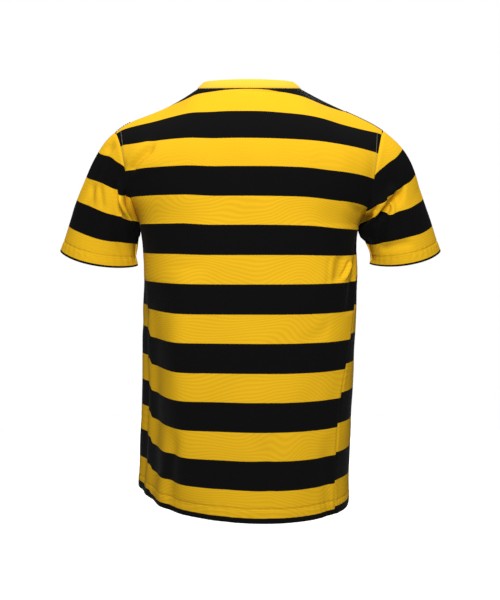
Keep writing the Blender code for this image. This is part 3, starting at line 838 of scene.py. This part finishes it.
def hooped_knit(name, first_black, pitch, edge, lift, lines):
    """Polyester interlock in dyed yarn: matt, a little fuzzy, with yellow and black hoops of nearly equal width.

    first_black is the height of the lowest whole black hoop, pitch the distance from one black hoop to the next, edge
    the width of the black line round the opening, lift how much higher this piece's hoops meet the seams than its
    neighbours' do, and lines how strongly the knit's courses show.
    """
    finish, tree, shader = textile(name, 0.9, 0.008)
    cloth = add(tree, "UVMap", uv_map="cloth")
    apart = add(tree, "SeparateXYZ", {0: cloth.outputs[0]})
    across, up = apart.outputs["X"], apart.outputs["Y"]
    centred = maths(tree, "SUBTRACT", maths(tree, "SUBTRACT", up, lift), first_black + BLACK_HOOP / 2)
    away = maths(tree, "PINGPONG", centred, pitch / 2)
    at_edge = {0: away, 1: BLACK_HOOP / 2 - HOOP_BLUR, 2: BLACK_HOOP / 2 + HOOP_BLUR, 3: 1.0, 4: 0.0}
    black = add(tree, "MapRange", at_edge, interpolation_type="SMOOTHSTEP")
    border = add(tree, "MapRange", {0: up, 1: edge - HOOP_BLUR, 2: edge + HOOP_BLUR, 3: 1.0, 4: 0.0})
    dark = maths(tree, "MAXIMUM", black.outputs[0], border.outputs[0])
    # Knit courses are about 0.9 mm apart. They are drawn more than six times as coarse, so that they show, and they
    # wander as the cloth does over its creases.
    wander = add(tree, "TexNoise", {"Vector": cloth.outputs[0], "Scale": 7.5, "Detail": 1.0})
    wave = ripple(tree, maths(tree, "MULTIPLY_ADD", wander.outputs[0], 0.115, up), COURSE_PITCH)
    # They show less where the cloth is drawn tight over the shoulders
    slack = add(tree, "MapRange", {0: up, 1: 0.66, 2: 0.54, 3: 0.1, 4: 1.0})
    courses = maths(tree, "MULTIPLY", wave, slack.outputs[0])
    # Wales and courses together, at twice their real size, for the tooth of the knit close by
    tooth = maths(tree, "MULTIPLY", ripple(tree, across, TOOTH_PITCH), ripple(tree, up, TOOTH_PITCH))
    # Dye takes a little unevenly over a hand's width
    cast = add(tree, "TexNoise", {"Vector": cloth.outputs[0], "Scale": 14, "Detail": 3})
    tone = maths(tree, "MULTIPLY_ADD", courses, lines, 0.965)
    tone = maths(tree, "MULTIPLY_ADD", cast.outputs[0], 0.08, tone)
    hoops = add(tree, "Mix", {0: dark, 6: toned(tree, YELLOW, tone), 7: linear(BLACK)}, data_type="RGBA")
    relief = maths(tree, "MULTIPLY_ADD", tooth, 0.35, courses)
    dressed(tree, shader, hoops.outputs[2], relief, 0.35, 0.00012)
    return finish


def rib_knit(name):
    """A one-and-one rib in the yellow yarn, denser than the hoops, its yellow made a shade brighter as painted light
    falling from above on the neck.
    """
    finish, tree, shader = textile(name, 0.85, 0.03)
    cloth = add(tree, "UVMap", uv_map="cloth")
    apart = add(tree, "SeparateXYZ", {0: cloth.outputs[0]})
    # Ribs are 1.6 mm apart. They are drawn at 3 mm so that they show.
    ribs = ripple(tree, apart.outputs["X"], RIB_PITCH)
    tone = maths(tree, "MULTIPLY_ADD", ribs, 0.02, 0.98)
    # The rib's brighter yellow is painted light from above on the neck
    dressed(tree, shader, toned(tree, RIB_YELLOW_WITH_PAINTED_LIGHT, tone), ribs, 0.4, 0.0002)
    return finish


def sewing_thread(name, dark, light):
    """Spun polyester thread, whose twist gives it fine bands of two tones."""
    finish, tree, shader = textile(name, 0.6, 0.0)
    place = add(tree, "TexCoord")
    bands = add(tree, "TexNoise", {"Vector": place.outputs["Object"], "Scale": 900, "Detail": 1})
    colour = add(tree, "Mix", {0: bands.outputs[0], 6: linear(dark), 7: linear(light)}, data_type="RGBA")
    tree.links.new(colour.outputs[2], shader.inputs["Base Color"])
    return finish


def one_stitch():
    """The points and faces of one stitch, a short fat capsule of thread along X.

    A new sphere's points are numbered differently from run to run, so they are sorted here.
    """
    bpy.ops.object.select_all(action="DESELECT")
    bpy.ops.mesh.primitive_uv_sphere_add(segments=6, ring_count=5, radius=1)
    ball = bpy.context.object
    points = np.array([v.co for v in ball.data.vertices])[:, [2, 0, 1]].round(6) + 0.0
    order = np.lexsort(points.round(4).T)
    ranks = np.argsort(order).tolist()
    faces = [[ranks[corner] for corner in face.vertices] for face in ball.data.polygons]
    faces = sorted(face[face.index(min(face)) :] + face[: face.index(min(face))] for face in faces)
    bpy.data.objects.remove(ball, do_unlink=True)
    points[:, 0] = np.sign(points[:, 0]) * abs(points[:, 0]) ** 0.6
    return points[order], faces


STITCH = one_stitch()


def merged(parts):
    """The points and faces of several meshes as those of one."""
    starts = np.cumsum([0] + [len(points) for points, _ in parts]).tolist()
    faces = [[corner + start for corner in face] for start, (_, made) in zip(starts, parts) for face in made]
    return np.concatenate([points for points, _ in parts]), faces


def stitch_line(path, normals, length, gap, width):
    """Stitches laid end to end along a path, as points and faces."""
    steps = np.linalg.norm(np.diff(path, axis=0), axis=1)
    far = np.concatenate([[0], np.cumsum(steps)])
    middles = np.arange(length, far[-1] - length, length + gap)
    scaled = STITCH[0] * (length / 2, width / 2, width / 2)
    stitches = []
    for middle in middles:
        start, centre, end = (between(middle + ahead, far, path) for ahead in (-length / 2, 0, length / 2))
        up, along = unit(between(middle, far, normals)), unit(end - start)
        placed = centre + scaled[:, :1] * along + scaled[:, 1:2] * np.cross(up, along) + scaled[:, 2:] * up
        stitches.append((placed, STITCH[1]))
    return merged(stitches)


def row_path(sheet, height):
    """A line round a piece at a height on its cloth, and its outward directions."""
    normals = outward(sheet.points, sheet.ring)
    outside = sheet.up[:, 0] >= 0
    path, ways = [], []
    for j in range(sheet.up.shape[1]):
        path.append(between(height, sheet.up[outside, j], sheet.points[outside, j]))
        ways.append(between(height, sheet.up[outside, j], normals[outside, j]))
    if sheet.ring:
        path.append(path[0])
        ways.append(ways[0])
    return np.array(path), np.array(ways)


def shoulder_seam(sheet, sign, start):
    """A line along the outer part of a shoulder seam, from a share of its length, and down into the armhole seam."""
    normals = outward(sheet.points, sheet.ring)
    along = (sign * sheet.across[-1] / PANEL_HALF - spread(NECK_SHARE)) / (1 - spread(NECK_SHARE))
    columns = np.flatnonzero(along >= start)
    columns = columns[np.argsort(along[columns])]
    down = np.flatnonzero(sheet.up[:, columns[-1]] > SHOULDER_TIP_HEIGHT - 0.008)[::-1][1:]
    path = np.concatenate([sheet.points[-1, columns], sheet.points[down, columns[-1]]])
    ways = np.concatenate([normals[-1, columns], normals[down, columns[-1]]])
    return path + ways * 0.0004, ways


def beside_armhole(sheet, sign, distance):
    """A line up a panel beside its armhole seam, and its outward directions."""
    normals = outward(sheet.points, sheet.ring)
    place = sign * (PANEL_HALF - distance)
    path, ways = [], []
    for i in np.flatnonzero(sheet.up.min(axis=1) >= ARMHOLE_STITCHES_FROM):
        order = np.argsort(sheet.across[i])
        path.append(between(place, sheet.across[i][order], sheet.points[i, order]))
        ways.append(between(place, sheet.across[i][order], normals[i, order]))
    return np.array(path), np.array(ways)


# The cloth
body_knit = hooped_knit("polyester_interlock_back", BODY_BLACK, HOOP_PITCH, 0.0095, 0.0, 0.055)
front_knit = hooped_knit("polyester_interlock_front", BODY_BLACK, HOOP_PITCH, 0.0150, FRONT_SHIFT, 0.05)
sleeve_knit = hooped_knit("polyester_interlock_sleeves", SLEEVE_BLACK, SLEEVE_PITCH, 0.0038, 0.0, 0.015)
neck_knit = rib_knit("polyester_rib_neck")
yellow_thread = sewing_thread("spun_polyester_thread_yellow", "#8e6612", "#a67a1c")
grey_thread = sewing_thread("spun_polyester_thread_grey", "#7c7466", "#a39a88")
black_thread = sewing_thread("spun_polyester_thread_black", "#0c0b0a", "#181715")

sheets = {
    "back": panel("back"),
    "front": panel("front"),
    "sleeve_left": sleeve("left"),
    "sleeve_right": sleeve("right"),
    "collar": collar(),
}
finishes = dict(zip(sheets, (body_knit, front_knit, sleeve_knit, sleeve_knit, neck_knit)))

# Stitches run round the hem and the cuffs in two rows, and up beside the armhole seams in one. Black overlocking
# shows along the outer parts of the shoulder seams.
sewing_rows = []


def sew(name, place, thread, paths):
    """Rows of stitches of one sort on a piece."""
    sewing_rows.append((name, place, thread, [stitch_line(*path, **STITCH_SIZES) for path in paths]))


for name in ("back", "front"):
    hem_heights = (HEM_DEPTH - BELOW_HEM_LINE, HEM_DEPTH + ABOVE_HEM_LINE)
    sew(name, "hem", yellow_thread, [row_path(sheets[name], height) for height in hem_heights])
    sew(name, "armhole", grey_thread, [beside_armhole(sheets[name], sign, FROM_ARMHOLE) for sign in (-1, 1)])
for name in ("sleeve_left", "sleeve_right"):
    cuff_heights = (CUFF_DEPTH - BELOW_HEM_LINE, CUFF_DEPTH + ABOVE_CUFF_LINE)
    sew(name, "cuff", yellow_thread, [row_path(sheets[name], height) for height in cuff_heights])
overlocking = [
    stitch_line(*shoulder_seam(sheets["back"], -1, 0.86), length=0.0026, gap=0.0014, width=0.0014),
    stitch_line(*shoulder_seam(sheets["back"], 1, 0.62), length=0.0030, gap=0.0, width=0.0013),
]
sewing_rows.append(("back", "shoulder", black_thread, overlocking))

# The shape of a piece's cut, as the width and length of the cloth it is cut from and its own flat area
Cut = namedtuple("Cut", "width length area")

for name, sheet in sheets.items():
    piece = cloth_object(sheet, RIB_CLOTH if name == "collar" else CLOTH, finishes[name])
    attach(piece, "root")
    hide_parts(name)
    sewing = []
    for piece_name, place, thread, lines in sewing_rows:
        if piece_name == name:
            sewing.append(new_mesh(name + "_" + place + "_stitches", *merged(lines), thread))
            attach(sewing[-1], "root")

# The floor, the light and the camera, at the photo's angle
AMBIENT = 0.10
FLOOR_GLOW = 0.15
FLOOR_HEIGHT = -1.02
bpy.ops.object.select_all(action="DESELECT")
bpy.ops.mesh.primitive_circle_add(vertices=96, radius=1.7, fill_type="NGON", location=(0, 0, FLOOR_HEIGHT))
floor = bpy.context.object
floor.name = "studio_floor"
pale_paper = new_finish(
    "pale_studio_paper",
    Base_Color=linear("#fbfbfa"),
    Roughness=0.95,
    Specular_IOR_Level=0.0,
    Emission_Color=(1, 1, 1, 1),
    Emission_Strength=FLOOR_GLOW,
)[0]
floor.data.materials.append(pale_paper)
# The paper shows pale but throws no light back up, as if black cloth stood around just out of view
floor.visible_diffuse = False

world = bpy.data.worlds.new("studio")
world.use_nodes = True
# The studio's white walls show as white and light the cloth from all round with AMBIENT
seen = add(world.node_tree, "LightPath")
walls = {0: seen.outputs["Is Camera Ray"], 1: 0.0, 2: 1.0, 3: AMBIENT, 4: 1.0}
brightness = add(world.node_tree, "MapRange", walls)
background = world.node_tree.nodes["Background"]
background.inputs["Color"].default_value = (1, 1, 1, 1)
world.node_tree.links.new(brightness.outputs[0], background.inputs["Strength"])
bpy.context.scene.world = world
bpy.context.scene.view_settings.view_transform = "Standard"


def soft_light(name, place, target, size, power):
    """A large square softbox aimed at a spot."""
    lamp = new_object(name, bpy.data.lights.new(name, "AREA"))
    lamp.data.shape = "SQUARE"
    lamp.data.size = size
    lamp.data.energy = power
    lamp.location = place
    way = np.array(target, float) - np.array(place, float)
    lamp.rotation_euler = (
        math.atan2(math.hypot(way[0], way[1]), -way[2]),
        0,
        math.atan2(way[1], way[0]) - math.pi / 2,
    )


soft_light("key_softbox", (-0.05, -2.2, 0.75), (0, 0, -0.35), 1.0, 75)
soft_light("top_softbox", (0.1, 0.1, 1.9), (0, 0, -0.3), 1.3, 38)
soft_light("far_softbox", (0.5, 2.3, 1.2), (0, 0, -0.35), 1.2, 65)

lens = bpy.data.cameras.new("camera")
lens.lens = 42.3
lens.sensor_width = 36
lens.shift_y = -0.118
camera = new_object("camera", lens)
camera.location = (0.0016, -1.289, -0.248)
camera.rotation_euler = (math.pi / 2, 0, 0)
bpy.context.scene.camera = camera
